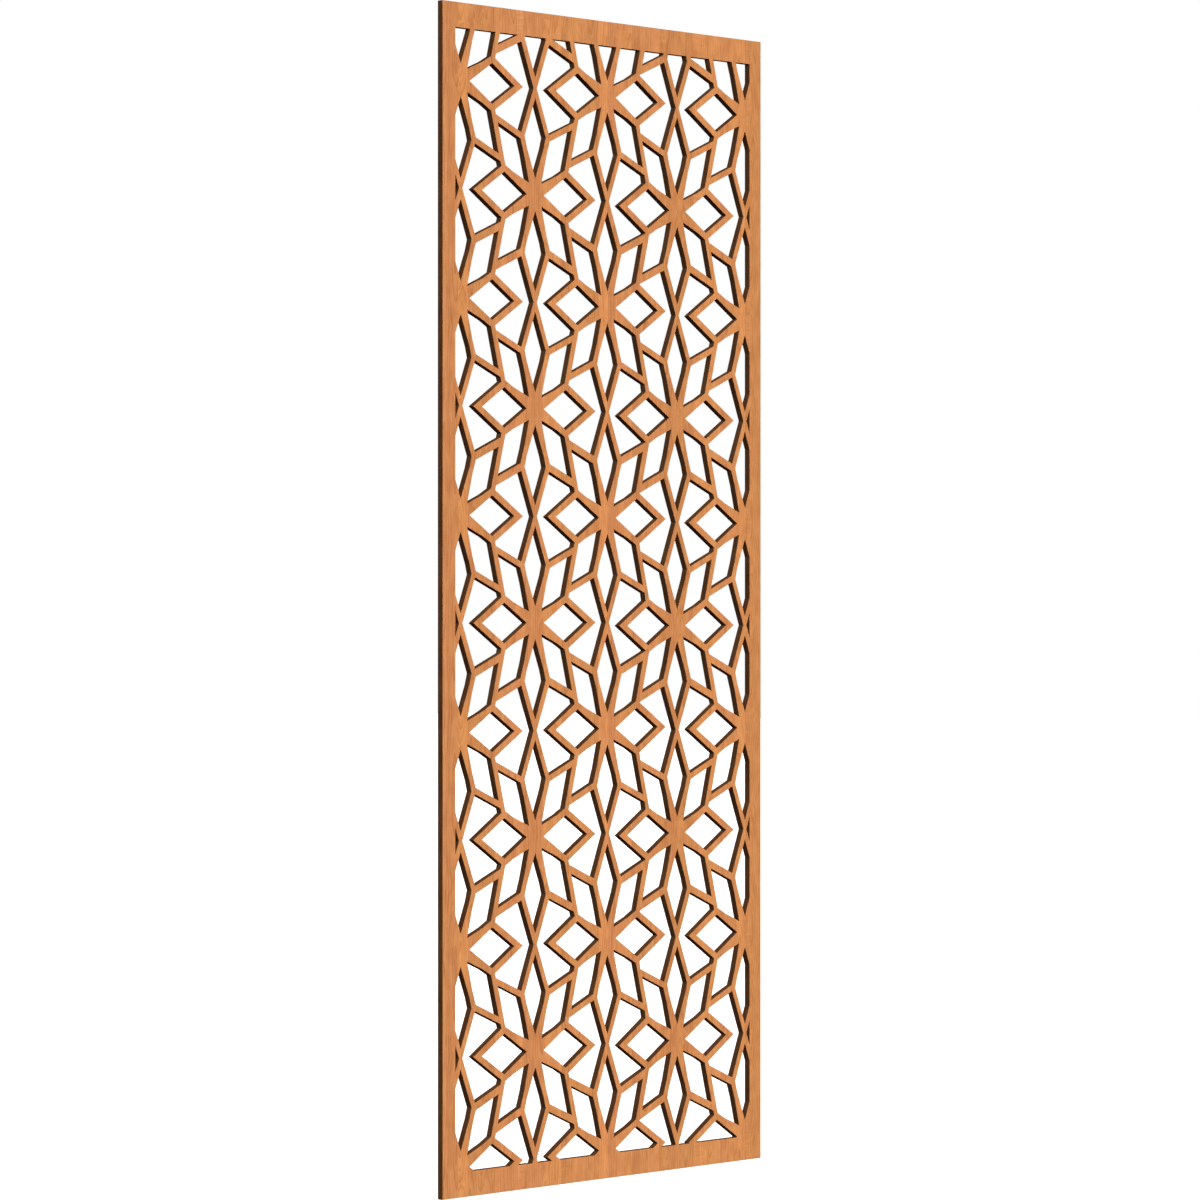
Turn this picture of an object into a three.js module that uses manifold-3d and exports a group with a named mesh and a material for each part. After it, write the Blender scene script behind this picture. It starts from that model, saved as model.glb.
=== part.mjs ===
// Pierced screen panel. One flat sheet of veneered board carries a repeating pattern of stars, cut right
// through it and stopped square against a plain border that is left uncut all round.
// Millimetres, +Z up, the face side towards -Y. The origin is on the back face, in the middle of the
// top rail, where the panel is hung or screwed back.

import * as THREE from 'three';
import Module from 'manifold-3d';
import { mergeVertices } from 'three/addons/utils/BufferGeometryUtils.js';

const wasm = await Module();
wasm.setup();

// The sheet
const panelHeight = 2400;
const panelWidth = 960;
const boardThickness = 14;

// The border left uncut round the pattern
const railHeight = 50.8;
const stileWidth = 36;

// Setting out of the stars. The middle column is on the panel's centre line, and every second column
// sits about half a row lower. The pattern was laid out in two runs: the columns right of the middle
// one are a second run, and it sits a little low.
const columnPitch = 214.5;
const rowPitch = 437;
const oddColumnDrop = 217.1;
const firstStarBelowTop = 155.5;
const secondRunDrop = 7;
const outermostColumn = 3;
const starRows = 6;

// Corners of the openings round one star, as [across, up] from its centre, in its upper right quarter.
// A kite stands above the star and a lozenge beside it. Half of each is given, from tip to tip.
const kiteHalf = [[0, 33.5], [24.8, 96.8], [30.7, 118.9], [0, 197.4]];
const lozengeHalf = [[25.2, 0], [89.7, 41.1], [153.6, 0]];
// A petal fills the diagonal between them.
const petal = [[18.4, 23.6], [33.1, 81.9], [43.2, 112], [108.3, 139.8], [86.6, 55.2], [63.5, 42.4]];
// A dart wraps the lozenge's far tip. Its inner corners belong to this star, and its outer ones follow
// the arms that come across from the next column.
const dartInnerHalf = [[178.9, 0], [98.1, 52.2]];
const dartOuterHalf = [[100.9, 61.2], [173.7, 92.2], [209.6, 0]];

const woodColour = 0xcd8c5a;
const woodRoughness = 0.55;

// How far the cutting shapes run past each face of the sheet.
const cutterOverrun = 5;

const topEdge = railHeight / 2;
const panelMiddle = topEdge - panelHeight / 2;

// A half outline and its reflection, as one closed outline. Corners on the mirror line stay single.
function closeAcross(half, axis) {
  const reflected = half.filter((corner) => corner[axis] !== 0).reverse().map((corner) => {
    const copy = [...corner];
    copy[axis] = -copy[axis];
    return copy;
  });
  return [...half, ...reflected];
}

function columnDrop(column) {
  return column > 0 ? secondRunDrop : 0;
}

// Height of a star's centre, not counting its run's drop.
function starHeight(column, row) {
  const staggered = column % 2 === 0 ? 0 : oddColumnDrop;
  return topEdge - firstStarBelowTop - staggered - row * rowPitch;
}

// One outline put in its place beside a star: side and up are 1 or -1 and turn it to its quarter.
function placeOutline(outline, column, row, side, up, drop) {
  return outline.map(([across, height]) => [
    column * columnPitch + side * across,
    starHeight(column, row) + up * height - drop,
  ]);
}

// The ten openings round one star.
function openingsRoundStar(column, row) {
  const drop = columnDrop(column);
  const outlines = [];
  for (const up of [1, -1]) {
    outlines.push(placeOutline(closeAcross(kiteHalf, 0), column, row, 1, up, drop));
  }
  for (const side of [1, -1]) {
    outlines.push(placeOutline(closeAcross(lozengeHalf, 1), column, row, side, 1, drop));
    for (const up of [1, -1]) {
      outlines.push(placeOutline(petal, column, row, side, up, drop));
    }
    const outerDrop = columnDrop(column + side);
    const upperInner = placeOutline(dartInnerHalf, column, row, side, 1, drop);
    const upperOuter = placeOutline(dartOuterHalf, column, row, side, 1, outerDrop);
    const lowerOuter = placeOutline(dartOuterHalf.slice(0, -1), column, row, side, -1, outerDrop);
    const lowerInner = placeOutline(dartInnerHalf.slice(1), column, row, side, -1, drop);
    outlines.push([...upperInner, ...upperOuter, ...lowerOuter.reverse(), ...lowerInner]);
  }
  return outlines;
}

// A solid with the given outline on the panel's face, running through it and past both faces by extra.
function solidFromOutline(outline, extra) {
  const shape = new THREE.Shape(outline.map(([across, height]) => new THREE.Vector2(across, height)));
  const depth = boardThickness + 2 * extra;
  const drawn = new THREE.ExtrudeGeometry(shape, { depth, bevelEnabled: false });
  drawn.translate(0, 0, -extra);
  drawn.rotateX(Math.PI / 2);
  drawn.deleteAttribute('normal');
  drawn.deleteAttribute('uv');
  const merged = mergeVertices(drawn);
  return new wasm.Manifold(new wasm.Mesh({
    numProp: 3,
    vertProperties: merged.attributes.position.array,
    triVerts: merged.index.array,
  }));
}

function rectangleSolid(width, height, extra) {
  const outline = [[-1, -1], [1, -1], [1, 1], [-1, 1]].map(([side, up]) => [
    side * width / 2,
    panelMiddle + up * height / 2,
  ]);
  return solidFromOutline(outline, extra);
}

// Every opening of the pattern, trimmed to the area inside the border.
function patternSolid() {
  const cutters = [];
  for (let column = -outermostColumn; column <= outermostColumn; column += 1) {
    for (let row = -1; row < starRows; row += 1) {
      const outlines = openingsRoundStar(column, row);
      cutters.push(...outlines.map((outline) => solidFromOutline(outline, cutterOverrun)));
    }
  }
  const patternWidth = panelWidth - 2 * stileWidth;
  const patternHeight = panelHeight - 2 * railHeight;
  const patternArea = rectangleSolid(patternWidth, patternHeight, 2 * cutterOverrun);
  return cutters.reduce((joined, cutter) => joined.add(cutter)).intersect(patternArea);
}

function geometryFromSolid(solid) {
  const { vertProperties, triVerts } = solid.getMesh();
  const geometry = new THREE.BufferGeometry();
  geometry.setAttribute('position', new THREE.BufferAttribute(vertProperties, 3));
  geometry.setIndex(new THREE.BufferAttribute(triVerts, 1));
  geometry.computeVertexNormals();
  return geometry;
}

function panelMesh() {
  const sheet = rectangleSolid(panelWidth, panelHeight, 0);
  const material = new THREE.MeshStandardMaterial({
    color: woodColour,
    roughness: woodRoughness,
    metalness: 0,
    flatShading: true,
  });
  const mesh = new THREE.Mesh(geometryFromSolid(sheet.subtract(patternSolid())), material);
  mesh.name = 'screen_panel';
  return mesh;
}

const screen = new THREE.Group();
screen.add(panelMesh());

export default screen;
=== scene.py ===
import math

import bmesh
import bpy
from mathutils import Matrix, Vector


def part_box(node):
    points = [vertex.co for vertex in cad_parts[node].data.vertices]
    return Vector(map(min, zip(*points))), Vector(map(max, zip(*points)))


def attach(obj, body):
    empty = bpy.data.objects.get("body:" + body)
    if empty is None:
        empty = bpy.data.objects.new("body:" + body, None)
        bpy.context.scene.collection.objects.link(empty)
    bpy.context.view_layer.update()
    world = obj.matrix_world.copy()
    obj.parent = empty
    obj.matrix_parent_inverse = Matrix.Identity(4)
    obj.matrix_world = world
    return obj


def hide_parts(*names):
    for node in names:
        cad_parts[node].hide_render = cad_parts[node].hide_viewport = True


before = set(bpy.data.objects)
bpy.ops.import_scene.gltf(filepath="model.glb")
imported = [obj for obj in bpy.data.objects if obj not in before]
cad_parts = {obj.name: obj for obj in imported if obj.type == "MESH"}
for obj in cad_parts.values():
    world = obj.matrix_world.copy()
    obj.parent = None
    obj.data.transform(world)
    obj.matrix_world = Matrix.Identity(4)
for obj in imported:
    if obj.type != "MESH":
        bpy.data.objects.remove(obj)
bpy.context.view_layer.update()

scene = bpy.context.scene
low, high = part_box("screen_panel")
middle = (low + high) / 2

# ---------------------------------------------------------------------------------------------------
# The camera. It stands level with the middle of the panel, well off to its left, so that the panel
# turns away to the right and the left faces of the cuts show. Its lens is long, for mild perspective.
# ---------------------------------------------------------------------------------------------------
view_turn = math.radians(46.54)
view_distance = 9.5585
aim_left_of_middle = 0.0225
lens_mm = 138.41
sensor_mm = 36

look = Vector((math.sin(view_turn), math.cos(view_turn), 0))
aim = Vector((middle.x - aim_left_of_middle, low.y, middle.z))
camera_data = bpy.data.cameras.new("camera")
camera_data.sensor_width = sensor_mm
camera_data.lens = lens_mm
camera = bpy.data.objects.new("camera", camera_data)
camera.location = aim - look * view_distance
camera.rotation_euler = (math.radians(90), 0, -view_turn)
scene.collection.objects.link(camera)
scene.camera = camera


# ---------------------------------------------------------------------------------------------------
# The blank sheet that the pattern is cut from: a dense board core with a thin cherry veneer pressed on
# both faces, sawn square, its outer arrises just eased by sanding. The finished panel is hung or screwed
# back by the border that is left uncut.
# ---------------------------------------------------------------------------------------------------
arris = 0.0003


def offset_outline(outline, distance):
    """The outline with every side moved outwards by distance, and its corners kept sharp."""
    moved = []
    for i, corner in enumerate(outline):
        before = (corner - outline[i - 1]).normalized()
        after = (outline[(i + 1) % len(outline)] - corner).normalized()
        out_before = Vector((before.y, -before.x))
        out_after = Vector((after.y, -after.x))
        mitre = (out_before + out_after) / (1 + out_before.dot(out_after))
        moved.append(corner + mitre * distance)
    return moved


def runs_clockwise(outline):
    return sum(outline[i - 1].cross(corner) for i, corner in enumerate(outline)) < 0


def add_prism(mesh, outline, stations, follows=None):
    """A closed solid with an upright outline, (across, up), at each station: (depth along Y, offset).
    follows says for each corner whose column of stars it moves with: 0 its own, 1 or -1 the next."""
    layer = mesh.verts.layers.int.get("follows") or mesh.verts.layers.int.new("follows")
    corners = [Vector(corner) for corner in outline]
    follows = follows or [0] * len(corners)
    if runs_clockwise(corners):
        corners.reverse()
        follows = follows[::-1]
    rings = []
    for depth, distance in stations:
        ring = [mesh.verts.new((p.x, depth, p.y)) for p in offset_outline(corners, distance)]
        for vert, column in zip(ring, follows):
            vert[layer] = column
        rings.append(ring)
    mesh.faces.new(rings[0])
    mesh.faces.new(rings[-1][::-1])
    for front, back in zip(rings, rings[1:]):
        for i in range(len(corners)):
            mesh.faces.new((front[i], front[i - 1], back[i - 1], back[i]))


def object_from(mesh, name):
    data = bpy.data.meshes.new(name)
    mesh.to_mesh(data)
    mesh.free()
    made = bpy.data.objects.new(name, data)
    scene.collection.objects.link(made)
    return made


def rectangle(left, right, bottom, top):
    return [(left, bottom), (right, bottom), (right, top), (left, top)]


sheet_mesh = bmesh.new()
sheet_stations = [(low.y, -arris), (low.y + arris, 0), (high.y - arris, 0), (high.y, -arris)]
add_prism(sheet_mesh, rectangle(low.x, high.x, low.z, high.z), sheet_stations)

# Its faces are ruled into small cells before it is cut, so that every opening crosses a ruled line. Each
# piece of face that the cutting leaves is then short and simple, with no hole in it. A line of its own
# runs beside each stile. The spacing and start suit only these sizes. They were found by trial, together
# with the weld distance, and most others tried left a flipped face, an open edge or a sliver.
ruled_apart = 0.0557
first_ruled = 0.0043
beside_stile = 0.439


def ruled_lines(start, end):
    """Evenly spaced lines between start and end, one of them at first_ruled."""
    first = math.ceil((start - first_ruled) / ruled_apart)
    past_last = math.ceil((end - first_ruled) / ruled_apart)
    return [first_ruled + i * ruled_apart for i in range(first, past_last)]


across_lines = [(x, (1, 0, 0)) for x in ruled_lines(low.x, high.x) + [-beside_stile, beside_stile]]
upright_lines = [(z, (0, 0, 1)) for z in ruled_lines(low.z, high.z)]
for place, direction in across_lines + upright_lines:
    whole = sheet_mesh.verts[:] + sheet_mesh.edges[:] + sheet_mesh.faces[:]
    bmesh.ops.bisect_plane(sheet_mesh, geom=whole, plane_co=Vector(direction) * place, plane_no=direction)
panel = object_from(sheet_mesh, "screen_panel_board")

# ---------------------------------------------------------------------------------------------------
# The veneer on both faces: cherry laid upright in narrow leaves, each a little lighter or darker than
# the next and each with its own figure, under a satin lacquer that leaves the pores just open.
# ---------------------------------------------------------------------------------------------------
leaf_width = 0.027
leaf_unevenness = 0.8
ring_spacing = 0.0055

# The leaves are numbered across the panel, with this one in the middle of the back. The numbers also run
# this fast through the sheet, so that the front has leaves of its own. Of 31 numbers tried for the middle
# leaf, this one came nearest the real panel's tones.
middle_leaf = 374
leaves_per_metre_deep = 3000

# Where a leaf lies in its log: how far to one side or the other the heart may be, how far behind the face,
# and how fast it comes and goes along the leaf. The grain sways a little, across the leaf and in depth.
heart_spread = 0.045
heart_depth = 0.018
heart_slope = (0.05, 0.2)
heart_start_spread = 0.5
sway_across = 0.006
sway_deep = 0.03
rings_skipped = 40
late_wood_sharpness = 2.0
ring_strength = (0.25, 1)

# Waves to the metre of each marking: across the leaves, through the sheet and along the grain.
sway_waves = (25, 25, 5)
fibre_waves = (700, 5, 7)
mottle_waves = (60, 5, 24)
pore_waves = (2600, 60, 90)
ripple_waves = (16, 16, 190)
open_pores = (0.63, 0.74)
rippled_leaves = (0.86, 0.9)


def add_node(tree, kind, inputs=None, **settings):
    node = tree.nodes.new(kind)
    for name, value in settings.items():
        setattr(node, name, value)
    for name, value in (inputs or {}).items():
        if isinstance(value, bpy.types.NodeSocket):
            tree.links.new(value, node.inputs[name])
        else:
            node.inputs[name].default_value = value
    return node


def math_node(tree, operation, first, second=0.0, third=0.0):
    return add_node(tree, "ShaderNodeMath", {0: first, 1: second, 2: third}, operation=operation).outputs[0]


def about_zero(tree, value):
    """A value between 0 and 1 moved so that it swings about 0."""
    return math_node(tree, "SUBTRACT", value, 0.5)


def vector_math(tree, operation, first, second=(0, 0, 0)):
    return add_node(tree, "ShaderNodeVectorMath", {0: first, 1: second}, operation=operation).outputs[0]


def remap(tree, value, old, new):
    """The value moved from the old range to the new one, and kept within it. Each range is (low, high)."""
    inputs = {"Value": value, "From Min": old[0], "From Max": old[1], "To Min": new[0], "To Max": new[1]}
    return add_node(tree, "ShaderNodeMapRange", inputs).outputs["Result"]


def scaled_colour(tree, colour, factor):
    node = add_node(tree, "ShaderNodeVectorMath", {0: colour, "Scale": factor}, operation="SCALE")
    return node.outputs[0]


def stretched_noise(tree, position, waves, detail):
    """Noise with this many waves to the metre across (X), through (Y) and along (Z) the board."""
    inputs = {"Vector": vector_math(tree, "MULTIPLY", position, waves), "Scale": 1.0, "Detail": detail}
    return add_node(tree, "ShaderNodeTexNoise", inputs).outputs["Fac"]


def mix_colours(tree, share, first, second):
    """The two colours mixed. A Mix node's colour sockets are reached by number, as their names repeat."""
    node = add_node(tree, "ShaderNodeMix", data_type="RGBA")
    for socket, value in zip((node.inputs[0], node.inputs[6], node.inputs[7]), (share, first, second)):
        if isinstance(value, bpy.types.NodeSocket):
            tree.links.new(value, socket)
        else:
            socket.default_value = value
    return node.outputs[2]


def leaf_figure_group():
    """The figure of upright veneer leaves. Each leaf is cut from its own log: its growth rings show as
    arches where the heart of the log lies under it, and as straight lines where it lies to one side."""
    tree = bpy.data.node_groups.new("leaf_figure", "ShaderNodeTree")
    given_inputs = [
        ("Position", "NodeSocketVector"),
        ("Leaf width", "NodeSocketFloat"),
        ("Middle leaf", "NodeSocketFloat"),
        ("Ring spacing", "NodeSocketFloat"),
    ]
    for name, kind in given_inputs:
        tree.interface.new_socket(name, in_out="INPUT", socket_type=kind)
    for name in ("Tone", "Warmth", "Rings", "Fibres", "Mottle", "Pores", "Ripple"):
        tree.interface.new_socket(name, in_out="OUTPUT", socket_type="NodeSocketFloat")
    given = tree.nodes.new("NodeGroupInput").outputs
    out = tree.nodes.new("NodeGroupOutput").inputs

    # The leaves, by number, and what is left to chance in each.
    place = add_node(tree, "ShaderNodeSeparateXYZ", {0: given["Position"]}).outputs
    leaf_count = math_node(tree, "DIVIDE", place["X"], given["Leaf width"])
    leaf_count = math_node(tree, "ADD", leaf_count, given["Middle leaf"])
    leaf_count = math_node(tree, "MULTIPLY_ADD", place["Y"], leaves_per_metre_deep, leaf_count)
    leaf = add_node(tree, "ShaderNodeTexVoronoi", {
        "W": leaf_count, "Scale": 1.0, "Randomness": leaf_unevenness,
    }, voronoi_dimensions="1D").outputs
    chance = add_node(tree, "ShaderNodeSeparateColor", {0: leaf["Color"]}).outputs
    tree.links.new(chance[0], out["Tone"])
    tree.links.new(chance[2], out["Warmth"])

    # The growth rings, by their distance from the heart of the leaf's log.
    sway = about_zero(tree, stretched_noise(tree, given["Position"], sway_waves, detail=3))
    from_leaf_middle = math_node(tree, "SUBTRACT", leaf_count, leaf["W"])
    in_leaf = math_node(tree, "MULTIPLY", from_leaf_middle, given["Leaf width"])
    swayed = math_node(tree, "MULTIPLY_ADD", sway, sway_across, in_leaf)
    heart = math_node(tree, "MULTIPLY", about_zero(tree, chance[1]), heart_spread)
    from_heart = math_node(tree, "SUBTRACT", swayed, heart)
    slope = remap(tree, chance[2], (0, 1), heart_slope)
    start = math_node(tree, "MULTIPLY", chance[1], heart_start_spread)
    rise = math_node(tree, "MULTIPLY_ADD", place["Z"], slope, start)
    depth = math_node(tree, "PINGPONG", math_node(tree, "MULTIPLY_ADD", sway, sway_deep, rise), heart_depth)
    radius = math_node(tree, "SQRT", math_node(
        tree, "ADD", math_node(tree, "POWER", from_heart, 2), math_node(tree, "POWER", depth, 2)
    ))
    ring_count = math_node(tree, "DIVIDE", radius, given["Ring spacing"])
    ring_count = math_node(tree, "ADD", ring_count, math_node(tree, "MULTIPLY", chance[0], rings_skipped))
    late_wood = math_node(tree, "POWER", math_node(tree, "FRACT", ring_count), late_wood_sharpness)
    ring_year = add_node(tree, "ShaderNodeTexWhiteNoise", {
        "W": math_node(tree, "FLOOR", ring_count),
    }, noise_dimensions="1D").outputs["Value"]
    rings = math_node(tree, "MULTIPLY", late_wood, remap(tree, ring_year, (0, 1), ring_strength))
    tree.links.new(rings, out["Rings"])

    # The finer markings, which sway with the grain.
    swayed_across = math_node(tree, "MULTIPLY_ADD", sway, sway_across, place["X"])
    swayed_place = add_node(tree, "ShaderNodeCombineXYZ", {
        "X": swayed_across, "Y": place["Y"], "Z": place["Z"],
    }).outputs[0]
    tree.links.new(stretched_noise(tree, swayed_place, fibre_waves, detail=3), out["Fibres"])
    tree.links.new(stretched_noise(tree, swayed_place, mottle_waves, detail=3), out["Mottle"])
    pore_noise = stretched_noise(tree, swayed_place, pore_waves, detail=1)
    tree.links.new(remap(tree, pore_noise, open_pores, (0, 1)), out["Pores"])

    # A few leaves were cut from wood with a level ripple in it.
    ripple_noise = stretched_noise(tree, given["Position"], ripple_waves, detail=2)
    is_rippled = remap(tree, chance[1], rippled_leaves, (0, 1))
    ripple = math_node(tree, "MULTIPLY", about_zero(tree, ripple_noise), is_rippled)
    tree.links.new(ripple, out["Ripple"])
    return tree


def placed_group(tree, group, inputs):
    return add_node(tree, "ShaderNodeGroup", inputs, node_tree=group).outputs


def new_material(name):
    material = bpy.data.materials.new(name)
    material.use_nodes = True
    tree = material.node_tree
    position = tree.nodes.new("ShaderNodeTexCoord").outputs["Object"]
    return material, tree, tree.nodes["Principled BSDF"], position


leaf_figure = leaf_figure_group()

veneer_light = (0.746, 0.316, 0.109, 1)
veneer_dark = (0.465, 0.159, 0.041, 1)
pore_brown = (0.330, 0.105, 0.028, 1)
leaf_rosy = (0.995, 0.965, 1.04, 1)
leaf_golden = (1.005, 1.015, 0.98, 1)

# How much each marking darkens the wood, from nothing at 0 to veneer_dark at 1.
noise_middle = (0.3, 0.7)
fibre_darkness = (0, 0.24)
mottle_darkness = (-0.14, 0.34)
ring_darkness = 0.7
pore_cover = 0.35

# How bright the leaves and the ripples in them are, about 1, and the lacquer's sheen and relief.
leaf_brightness = (0.93, 1.115)
ripple_brightness = (0.8, 1.2)
lacquer_roughness = (0.46, 0.6)
lacquer_gloss = 0.4
veneer_relief_strength = 0.3
veneer_relief_depth = 0.0001
late_wood_sunk = 0.3


def veneer_material():
    material, tree, shader, position = new_material("cherry_veneer")
    figure = placed_group(tree, leaf_figure, {
        "Position": position,
        "Leaf width": leaf_width,
        "Middle leaf": middle_leaf,
        "Ring spacing": ring_spacing,
    })
    fibres = remap(tree, figure["Fibres"], noise_middle, fibre_darkness)
    mottle = remap(tree, figure["Mottle"], noise_middle, mottle_darkness)
    markings = math_node(tree, "ADD", fibres, mottle)
    darkness = math_node(tree, "MULTIPLY_ADD", figure["Rings"], ring_darkness, markings)
    wood = mix_colours(tree, darkness, veneer_light, veneer_dark)
    leaf_tint = mix_colours(tree, figure["Warmth"], leaf_rosy, leaf_golden)
    tinted = vector_math(tree, "MULTIPLY", wood, leaf_tint)
    toned = scaled_colour(tree, tinted, remap(tree, figure["Tone"], (0, 1), leaf_brightness))
    rippled = scaled_colour(tree, toned, remap(tree, figure["Ripple"], (-0.5, 0.5), ripple_brightness))
    pored = mix_colours(tree, math_node(tree, "MULTIPLY", figure["Pores"], pore_cover), rippled, pore_brown)
    tree.links.new(pored, shader.inputs["Base Color"])
    tree.links.new(remap(tree, darkness, (0, 1), lacquer_roughness), shader.inputs["Roughness"])
    shader.inputs["Specular IOR Level"].default_value = lacquer_gloss
    pore_relief = math_node(tree, "MULTIPLY", figure["Pores"], -1)
    relief = math_node(tree, "MULTIPLY_ADD", darkness, -late_wood_sunk, pore_relief)
    bump = add_node(tree, "ShaderNodeBump", {
        "Strength": veneer_relief_strength, "Distance": veneer_relief_depth, "Height": relief,
    })
    tree.links.new(bump.outputs["Normal"], shader.inputs["Normal"])
    return material


veneer = veneer_material()

# ---------------------------------------------------------------------------------------------------
# The cut faces: wherever the cutter went through, and on the sawn outer edges, the plies of the core
# show between the two veneers, finely marked by the cut. Their very dark brown is partly scorching and
# partly painted shade, the shade that the walls of the openings lie in, kept in the colour under any lamp.
# ---------------------------------------------------------------------------------------------------
ply_thickness = 0.0016
veneer_thickness = 0.00065
# These two colours are scorched brown with painted shade on top: the walls of the openings are drawn as
# dark as the shade they lie in.
scorched_and_shaded_dark = (0.103, 0.039, 0.013, 1)
scorched_and_shaded_light = (0.197, 0.082, 0.030, 1)
veneer_edge = (0.300, 0.118, 0.040, 1)
veneer_edge_strength = 0.8
veneer_edge_blur = 0.0001
outer_edge_lighter = (1.14, 1.10, 1.05)
sawn_depth = 0.001

# Waves to the metre of each marking, as for the veneer, and its share in how light the face is.
streak_waves = (45, 1100, 45)
cutter_mark_waves = (620, 14, 620)
blotch_waves = (19, 19, 19)
streak_share = 0.7
cutter_mark_share = 0.4
blotch_share = 0.9
ply_share = 0.25
tone_span = (0.85, 1.4)
cut_roughness = (0.85, 0.65)
cut_gloss = 0.0
cut_relief_strength = 0.4
cut_relief_depth = 0.0002
ply_relief = 0.4


def cut_edge_material():
    material, tree, shader, position = new_material("scorched_and_shaded_cut_edge")
    depth = add_node(tree, "ShaderNodeSeparateXYZ", {0: position}).outputs["Y"]
    from_middle = math_node(tree, "ABSOLUTE", math_node(tree, "SUBTRACT", depth, middle.y))
    ply = math_node(tree, "PINGPONG", math_node(tree, "DIVIDE", from_middle, ply_thickness), 1)
    streaks = stretched_noise(tree, position, streak_waves, detail=3)
    cutter_marks = stretched_noise(tree, position, cutter_mark_waves, detail=2)
    blotches = stretched_noise(tree, position, blotch_waves, detail=3)
    tone = math_node(tree, "MULTIPLY", blotches, blotch_share)
    tone = math_node(tree, "MULTIPLY_ADD", streaks, streak_share, tone)
    tone = math_node(tree, "MULTIPLY_ADD", cutter_marks, cutter_mark_share, tone)
    tone = math_node(tree, "MULTIPLY_ADD", ply, ply_share, tone)
    core = mix_colours(tree, remap(tree, tone, tone_span, (0, 1)), scorched_and_shaded_dark, scorched_and_shaded_light)

    skin_from = (high.y - low.y) / 2 - veneer_thickness
    skin_span = (skin_from - veneer_edge_blur, skin_from + veneer_edge_blur)
    is_skin = remap(tree, from_middle, skin_span, (0, veneer_edge_strength))
    skinned = mix_colours(tree, is_skin, core, veneer_edge)

    # The outer edges, up to a millimetre in from the sides and ends, are drawn a little lighter than the
    # walls inside the openings.
    from_centre = vector_math(tree, "ABSOLUTE", vector_math(tree, "SUBTRACT", position, middle))
    inset = add_node(tree, "ShaderNodeSeparateXYZ", {0: from_centre}).outputs
    at_side = math_node(tree, "GREATER_THAN", inset["X"], high.x - middle.x - sawn_depth)
    at_end = math_node(tree, "GREATER_THAN", inset["Z"], high.z - middle.z - sawn_depth)
    is_sawn = math_node(tree, "MAXIMUM", at_side, at_end)
    sawn = vector_math(tree, "MULTIPLY", skinned, outer_edge_lighter)
    tree.links.new(mix_colours(tree, is_sawn, skinned, sawn), shader.inputs["Base Color"])
    tree.links.new(remap(tree, streaks, noise_middle, cut_roughness), shader.inputs["Roughness"])
    shader.inputs["Specular IOR Level"].default_value = cut_gloss
    relief = math_node(tree, "MULTIPLY_ADD", ply, ply_relief, cutter_marks)
    bump = add_node(tree, "ShaderNodeBump", {
        "Strength": cut_relief_strength, "Distance": cut_relief_depth, "Height": relief,
    })
    tree.links.new(bump.outputs["Normal"], shader.inputs["Normal"])
    return material


cut_edge = cut_edge_material()

# ---------------------------------------------------------------------------------------------------
# The pattern: ten openings round every star, cut right through the sheet, with their arrises eased. They
# are repeated column by column, every second column about half a row lower, and they stop square at the
# uncut border. The columns right of the middle one are a second run, which was set out a little low.
# ---------------------------------------------------------------------------------------------------
rail_height = 0.0508
stile_width = 0.036
column_pitch = 0.2145
row_pitch = 0.437
odd_column_drop = 0.2171
first_star_below_top = 0.1555
second_run_drop = 0.007
star_columns = 7
star_rows = 7
rows_above_first = 1
past_face = 0.0006
weld_distance = 0.0001
squarely_facing = 0.9

# Corners of the openings in a star's upper right quarter, (across, up) from its centre. Half of the
# kite, the lozenge and the dart is given, from one tip to the other.
kite_half = [(0, 0.0335), (0.0248, 0.0968), (0.0307, 0.1189), (0, 0.1974)]
lozenge_half = [(0.0252, 0), (0.0897, 0.0411), (0.1536, 0)]
petal = [
    (0.0184, 0.0236), (0.0331, 0.0819), (0.0432, 0.1120),
    (0.1083, 0.1398), (0.0866, 0.0552), (0.0635, 0.0424),
]
dart_half = [(0.1789, 0), (0.0981, 0.0522), (0.1009, 0.0612), (0.1737, 0.0922), (0.2096, 0)]
dart_half_follows = [0, 0, 1, 1, 1]

cut_stations = [
    (low.y - past_face, arris + past_face),
    (low.y + arris, 0),
    (high.y - arris, 0),
    (high.y + past_face, arris + past_face),
]


def turned(outline, side, up):
    return [(side * across, up * height) for across, height in outline]


def closed_by(half, side, up):
    """A half outline joined to its reflection. The two ends lie on the mirror line and stay single."""
    return half + turned(half[-2:0:-1], side, up)


star_mesh = bmesh.new()
for up in (1, -1):
    add_prism(star_mesh, turned(closed_by(kite_half, -1, 1), 1, up), cut_stations)
    for side in (1, -1):
        add_prism(star_mesh, turned(petal, side, up), cut_stations)
for side in (1, -1):
    add_prism(star_mesh, turned(closed_by(lozenge_half, 1, -1), side, 1), cut_stations)
    dart_follows = [side * column for column in dart_half_follows + dart_half_follows[-2:0:-1]]
    add_prism(star_mesh, turned(closed_by(dart_half, 1, -1), side, 1), cut_stations, dart_follows)
star_cutter = object_from(star_mesh, "star_cutter")

area_mesh = bmesh.new()
area_outline = rectangle(
    low.x + stile_width, high.x - stile_width, low.z + rail_height, high.z - rail_height
)
add_prism(area_mesh, area_outline, cut_stations)
area_cutter = object_from(area_mesh, "pattern_area")


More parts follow.
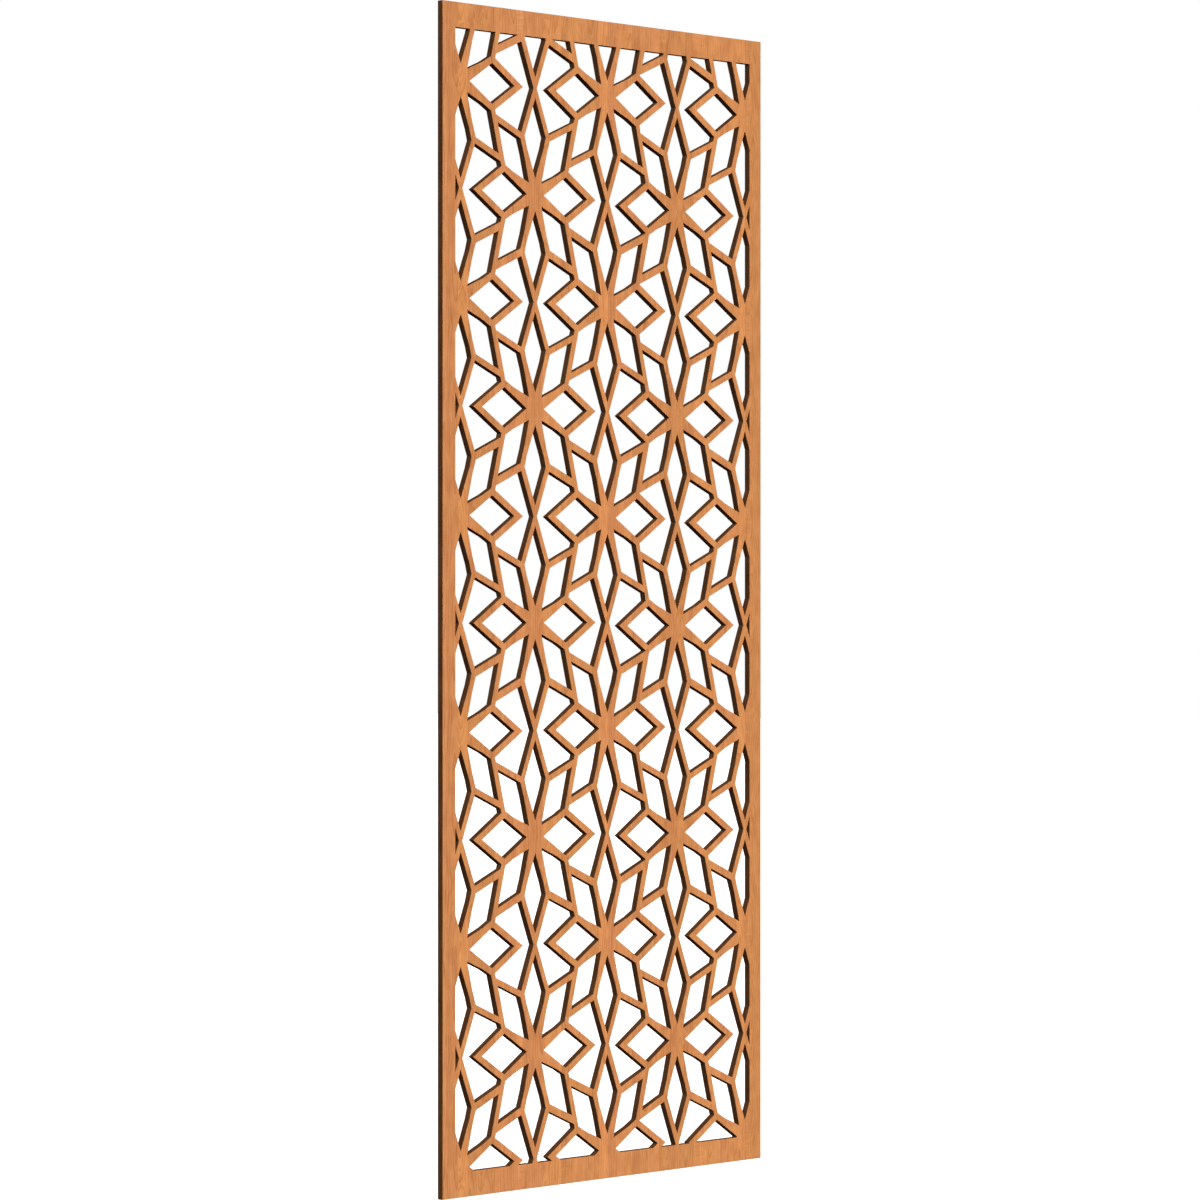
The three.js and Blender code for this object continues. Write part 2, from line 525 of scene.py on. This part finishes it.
def pierced_sheet_tree():
    """Repeats the star cutter on its lattice, trims it to the pattern area and cuts it out of the sheet."""
    tree = bpy.data.node_groups.new("pierced_sheet", "GeometryNodeTree")
    given_inputs = [
        ("Sheet", "NodeSocketGeometry"),
        ("Star openings", "NodeSocketObject"),
        ("Pattern area", "NodeSocketObject"),
        ("Columns", "NodeSocketInt"),
        ("Rows", "NodeSocketInt"),
        ("Column pitch", "NodeSocketFloat"),
        ("Row pitch", "NodeSocketFloat"),
        ("Odd column drop", "NodeSocketFloat"),
        ("Lattice middle", "NodeSocketVector"),
        ("Second run drop", "NodeSocketFloat"),
        ("Weld distance", "NodeSocketFloat"),
        ("Squarely facing", "NodeSocketFloat"),
        ("Face material", "NodeSocketMaterial"),
        ("Cut material", "NodeSocketMaterial"),
    ]
    for socket_name, socket_type in given_inputs:
        tree.interface.new_socket(socket_name, in_out="INPUT", socket_type=socket_type)
    tree.interface.new_socket("Panel", in_out="OUTPUT", socket_type="NodeSocketGeometry")
    given = tree.nodes.new("NodeGroupInput").outputs
    out = tree.nodes.new("NodeGroupOutput")

    spans = [
        math_node(tree, "MULTIPLY", math_node(tree, "SUBTRACT", given[count], 1), given[pitch])
        for count, pitch in (("Columns", "Column pitch"), ("Rows", "Row pitch"))
    ]
    grid = add_node(tree, "GeometryNodeMeshGrid", {
        "Size X": spans[0], "Size Y": spans[1], "Vertices X": given["Columns"], "Vertices Y": given["Rows"],
    })
    upright = add_node(tree, "GeometryNodeTransform", {
        "Geometry": grid.outputs["Mesh"], "Rotation": (math.radians(90), 0, 0),
    })
    position = tree.nodes.new("GeometryNodeInputPosition").outputs[0]
    across = add_node(tree, "ShaderNodeSeparateXYZ", {0: position}).outputs["X"]
    column = math_node(tree, "ROUND", math_node(tree, "DIVIDE", across, given["Column pitch"]))
    numbered = add_node(tree, "GeometryNodeStoreNamedAttribute", {
        "Geometry": upright.outputs[0], "Name": "column", "Value": column,
    }, data_type="INT", domain="POINT")
    column_number = add_node(tree, "GeometryNodeInputNamedAttribute", {"Name": "column"}, data_type="INT")
    is_odd = math_node(tree, "FLOORED_MODULO", column_number.outputs["Attribute"], 2)
    odd_drop = math_node(tree, "MULTIPLY", given["Odd column drop"], -1)
    odd_drop = math_node(tree, "MULTIPLY", is_odd, odd_drop)
    lowered = add_node(tree, "ShaderNodeCombineXYZ", {"Z": odd_drop}).outputs[0]
    lattice = add_node(tree, "GeometryNodeSetPosition", {
        "Geometry": numbered.outputs[0],
        "Offset": vector_math(tree, "ADD", lowered, given["Lattice middle"]),
    })

    star = add_node(tree, "GeometryNodeObjectInfo", {"Object": given["Star openings"]})
    stars = add_node(tree, "GeometryNodeInstanceOnPoints", {
        "Points": lattice.outputs[0], "Instance": star.outputs["Geometry"],
    })
    real_stars = add_node(tree, "GeometryNodeRealizeInstances", {"Geometry": stars.outputs[0]})
    followed = add_node(tree, "GeometryNodeInputNamedAttribute", {"Name": "follows"}, data_type="INT")
    moves_with = math_node(tree, "ADD", column_number.outputs["Attribute"], followed.outputs["Attribute"])
    in_second_run = math_node(tree, "GREATER_THAN", moves_with, 0)
    run_drop = math_node(tree, "MULTIPLY", given["Second run drop"], -1)
    run_drop = math_node(tree, "MULTIPLY", in_second_run, run_drop)
    set_out = add_node(tree, "GeometryNodeSetPosition", {
        "Geometry": real_stars.outputs[0],
        "Offset": add_node(tree, "ShaderNodeCombineXYZ", {"Z": run_drop}).outputs[0],
    })

    area = add_node(tree, "GeometryNodeObjectInfo", {"Object": given["Pattern area"]})
    trimmed = add_node(tree, "GeometryNodeMeshBoolean", operation="INTERSECT", solver="MANIFOLD")
    tree.links.new(set_out.outputs[0], trimmed.inputs["Mesh 2"])
    tree.links.new(area.outputs["Geometry"], trimmed.inputs["Mesh 2"])
    pierced = add_node(tree, "GeometryNodeMeshBoolean", operation="DIFFERENCE", solver="MANIFOLD")
    tree.links.new(given["Sheet"], pierced.inputs["Mesh 1"])
    tree.links.new(trimmed.outputs["Mesh"], pierced.inputs["Mesh 2"])

    triangles = add_node(tree, "GeometryNodeTriangulate", {"Mesh": pierced.outputs["Mesh"]})
    welded = add_node(tree, "GeometryNodeMergeByDistance", {
        "Geometry": triangles.outputs[0], "Distance": given["Weld distance"],
    })
    realized = add_node(tree, "GeometryNodeRealizeInstances", {"Geometry": welded.outputs[0]})
    all_cut = add_node(tree, "GeometryNodeSetMaterial", {
        "Geometry": realized.outputs[0], "Material": given["Cut material"],
    })
    normal = tree.nodes.new("GeometryNodeInputNormal").outputs[0]
    facing = math_node(tree, "ABSOLUTE", add_node(tree, "ShaderNodeSeparateXYZ", {0: normal}).outputs["Y"])
    is_face = math_node(tree, "GREATER_THAN", facing, given["Squarely facing"])
    finished = add_node(tree, "GeometryNodeSetMaterial", {
        "Geometry": all_cut.outputs[0], "Selection": is_face, "Material": given["Face material"],
    })
    tree.links.new(finished.outputs[0], out.inputs["Panel"])
    return tree


tree = pierced_sheet_tree()
middle_row = (star_rows - 1) / 2 - rows_above_first
values = {
    "Star openings": star_cutter,
    "Pattern area": area_cutter,
    "Columns": star_columns,
    "Rows": star_rows,
    "Column pitch": column_pitch,
    "Row pitch": row_pitch,
    "Odd column drop": odd_column_drop,
    "Lattice middle": (0, 0, high.z - first_star_below_top - middle_row * row_pitch),
    "Second run drop": second_run_drop,
    "Weld distance": weld_distance,
    "Squarely facing": squarely_facing,
    "Face material": veneer,
    "Cut material": cut_edge,
}
for solid in (panel, star_cutter, area_cutter):
    solid.data.materials.append(cut_edge)
cutting = panel.modifiers.new("pierced_sheet", "NODES")
cutting.node_group = tree
for socket in tree.interface.items_tree:
    if socket.name in values:
        cutting[socket.identifier] = values[socket.name]

cut_mesh = bpy.data.meshes.new_from_object(panel.evaluated_get(bpy.context.evaluated_depsgraph_get()))
panel.modifiers.clear()
panel.data = cut_mesh
for setting_out in ("column", "follows"):
    cut_mesh.attributes.remove(cut_mesh.attributes[setting_out])
for helper in (star_cutter, area_cutter):
    bpy.data.objects.remove(helper)

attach(panel, "root")
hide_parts("screen_panel")

# ---------------------------------------------------------------------------------------------------
# The studio: a plain pale floor a little under the hanging panel, white all round, broad soft lamps in
# front and behind, a faint cool fill from the left, and a little warm light thrown back from everywhere.
# ---------------------------------------------------------------------------------------------------
floor_gap = 0.06
floor_size = 60
floor_pale = (0.9, 0.9, 0.9, 1)
floor_roughness = 0.9
floor_glow = 0.85
backdrop_white = (1, 1, 1, 1)
all_round_light = (0.095, 0.050, 0.028, 1)
lamp_breadth = math.radians(30)
lamp_white = (1, 1, 1)
lamp_cool = (0.04, 0.48, 1)
front_lamp_from = Vector((-0.275, -0.94, 0.40))
side_fill_from = Vector((-0.28, -0.08, 0.03))
rear_lamp_from = Vector((0.3, 0.75, 0.2))

bpy.ops.mesh.primitive_plane_add(size=floor_size, location=(0, 0, low.z - floor_gap))
floor = bpy.context.object
floor.name = "floor"
floor_material, _, floor_shader, _ = new_material("pale_floor")
floor_shader.inputs["Base Color"].default_value = floor_pale
floor_shader.inputs["Roughness"].default_value = floor_roughness
floor_shader.inputs["Emission Color"].default_value = floor_pale
floor_shader.inputs["Emission Strength"].default_value = floor_glow
floor.data.materials.append(floor_material)
floor.visible_diffuse = False
floor.visible_glossy = False

world = bpy.data.worlds.new("studio")
scene.world = world
world.use_nodes = True
background = world.node_tree.nodes["Background"]
seen_directly = world.node_tree.nodes.new("ShaderNodeLightPath").outputs["Is Camera Ray"]
backdrop = mix_colours(world.node_tree, seen_directly, all_round_light, backdrop_white)
world.node_tree.links.new(backdrop, background.inputs["Color"])


def soft_lamp(name, shines_from, colour):
    """A far, broad lamp whose light falls the same all over the panel, as strong as its vector is long."""
    lamp = bpy.data.lights.new(name, "SUN")
    lamp.color = colour
    lamp.energy = math.pi * shines_from.length
    lamp.angle = lamp_breadth
    placed = bpy.data.objects.new(name, lamp)
    placed.rotation_euler = shines_from.to_track_quat("Z", "Y").to_euler()
    scene.collection.objects.link(placed)


soft_lamp("front_lamp", front_lamp_from, lamp_white)
soft_lamp("side_fill", side_fill_from, lamp_cool)
soft_lamp("rear_lamp", rear_lamp_from, lamp_white)

scene.view_settings.view_transform = "Standard"
